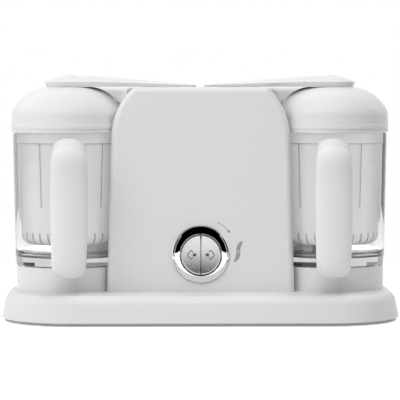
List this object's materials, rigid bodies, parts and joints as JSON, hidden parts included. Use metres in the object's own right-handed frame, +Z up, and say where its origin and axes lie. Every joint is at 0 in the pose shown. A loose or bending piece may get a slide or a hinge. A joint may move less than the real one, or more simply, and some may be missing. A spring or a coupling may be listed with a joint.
{
  "type": "baby food maker",
  "caption": "Steamer and blender for baby food: low plinth, centre tower with control knob, clear lidded jugs with handles at both sides, steam arms hinged over the lids.",
  "frame": {"origin": "on the table under the middle of the plinth", "axes": "+X to the right along the plinth, -Y to the front with the knob and handles, +Z up"},
  "size_m": [0.4, 0.2, 0.2465],
  "materials": {
    "white_plastic": "satin moulded white",
    "clear_plastic": "clear moulded copolyester",
    "basket_plastic": "clear moulded plastic",
    "chrome": "mirror plated",
    "satin_silver": "satin silver coat",
    "grey_plastic": "fine matte grey",
    "dark_plastic": "matte black",
    "foot_rubber": "soft grey",
    "belt_rubber": "black toothed belt",
    "silicone": "translucent white silicone",
    "steel": "brushed stainless",
    "aluminium": "die cast",
    "motor_metal": "painted can",
    "circuit_board": "solder mask",
    "brass": "sintered bush"
  },
  "bodies": {
    "base": {"base_shell": "white_plastic", "base_plate": "grey_plastic", "rubber_feet": "foot_rubber", "base_screws": "steel", "cord_gland": "dark_plastic", "tower_housing": "white_plastic", "front_panel": "white_plastic", "top_deck": "white_plastic", "button_guide": "dark_plastic", "control_board": "circuit_board", "push_switches": "dark_plastic", "blend_switch": "dark_plastic", "motor_case": "motor_metal", "drive_belt": "belt_rubber", "drive_bearing": "brass", "left_bowl_seat": "white_plastic", "left_water_tank": "steel", "left_heater": "aluminium", "left_hinge_pin": "steel", "right_bowl_seat": "white_plastic", "right_water_tank": "steel", "right_heater": "aluminium", "right_hinge_pin": "steel"},
    "left_arm": {"left_steam_arm": "white_plastic", "left_arm_liner": "grey_plastic", "left_tank_gasket": "silicone", "left_lid_gasket": "silicone"},
    "left_jug": {"left_bowl": "clear_plastic", "left_handle": "white_plastic", "left_basket": "basket_plastic"},
    "left_cover": {"left_lid": "white_plastic", "left_lid_seal": "silicone"},
    "left_push": {"left_button": "satin_silver"},
    "right_arm": {"right_steam_arm": "white_plastic", "right_arm_liner": "grey_plastic", "right_tank_gasket": "silicone", "right_lid_gasket": "silicone"},
    "right_jug": {"right_bowl": "clear_plastic", "right_handle": "white_plastic", "right_basket": "basket_plastic"},
    "right_cover": {"right_lid": "white_plastic", "right_lid_seal": "silicone"},
    "right_push": {"right_button": "satin_silver"},
    "knob": {"knob_ring": "chrome"},
    "motor_rotor": {"motor_shaft": "steel", "motor_pulley": "aluminium"},
    "drive": {"drive_shaft": "steel", "drive_pulley": "dark_plastic", "drive_coupling": "dark_plastic"},
    "cutter": {"blade_hub": "dark_plastic", "blade": "steel", "blade_cap": "dark_plastic"}
  },
  "joints": [
    {"name": "left_arm_hinge", "type": "hinge", "parent": "base", "child": "left_arm", "pos_m": [-0.01, 0, 0.231], "axis": [0, 1, 0], "range_deg": [0, 85]},
    {"name": "left_jug_twist", "type": "hinge", "parent": "base", "child": "left_jug", "pos_m": [-0.133, 0, 0.054], "axis": [0, 0, -1], "range_deg": [0, 25]},
    {"name": "left_lid_twist", "type": "hinge", "parent": "left_jug", "child": "left_cover", "pos_m": [-0.133, 0, 0.1885], "axis": [0, 0, -1], "range_deg": [0, 20]},
    {"name": "left_button_press", "type": "slide", "parent": "base", "child": "left_push", "axis": [0, 1, 0], "range_m": [0, 0.002], "stiffness_N_per_m": 600},
    {"name": "right_arm_hinge", "type": "hinge", "parent": "base", "child": "right_arm", "pos_m": [0.01, 0, 0.231], "axis": [0, -1, 0], "range_deg": [0, 85]},
    {"name": "right_jug_twist", "type": "hinge", "parent": "base", "child": "right_jug", "pos_m": [0.133, 0, 0.054], "axis": [0, 0, 1], "range_deg": [0, 25]},
    {"name": "right_lid_twist", "type": "hinge", "parent": "right_jug", "child": "right_cover", "pos_m": [0.133, 0, 0.1885], "axis": [0, 0, 1], "range_deg": [0, 20]},
    {"name": "right_button_press", "type": "slide", "parent": "base", "child": "right_push", "axis": [0, 1, 0], "range_m": [0, 0.002], "stiffness_N_per_m": 600},
    {"name": "knob_turn", "type": "hinge", "parent": "base", "child": "knob", "pos_m": [0, -0.05, 0.0675], "axis": [0, 1, 0], "range_deg": [0, 40], "stiffness_Nm_per_rad": 0.06},
    {"name": "drive_spin", "type": "hinge", "parent": "base", "child": "drive", "pos_m": [0.133, 0, 0.03], "axis": [0, 0, 1], "continuous": true},
    {"name": "motor_spin", "type": "hinge", "parent": "base", "child": "motor_rotor", "pos_m": [0.045, 0.046, 0.03], "axis": [0, 0, 1], "continuous": true},
    {"name": "blade_spin", "type": "hinge", "parent": "right_jug", "child": "cutter", "pos_m": [0.133, 0, 0.06], "axis": [0, 0, 1], "continuous": true}
  ],
  "couplings": [
    {"joint": "motor_spin", "follows": "drive_spin", "ratio": 3},
    {"joint": "blade_spin", "follows": "drive_spin", "ratio": 1}
  ]
}
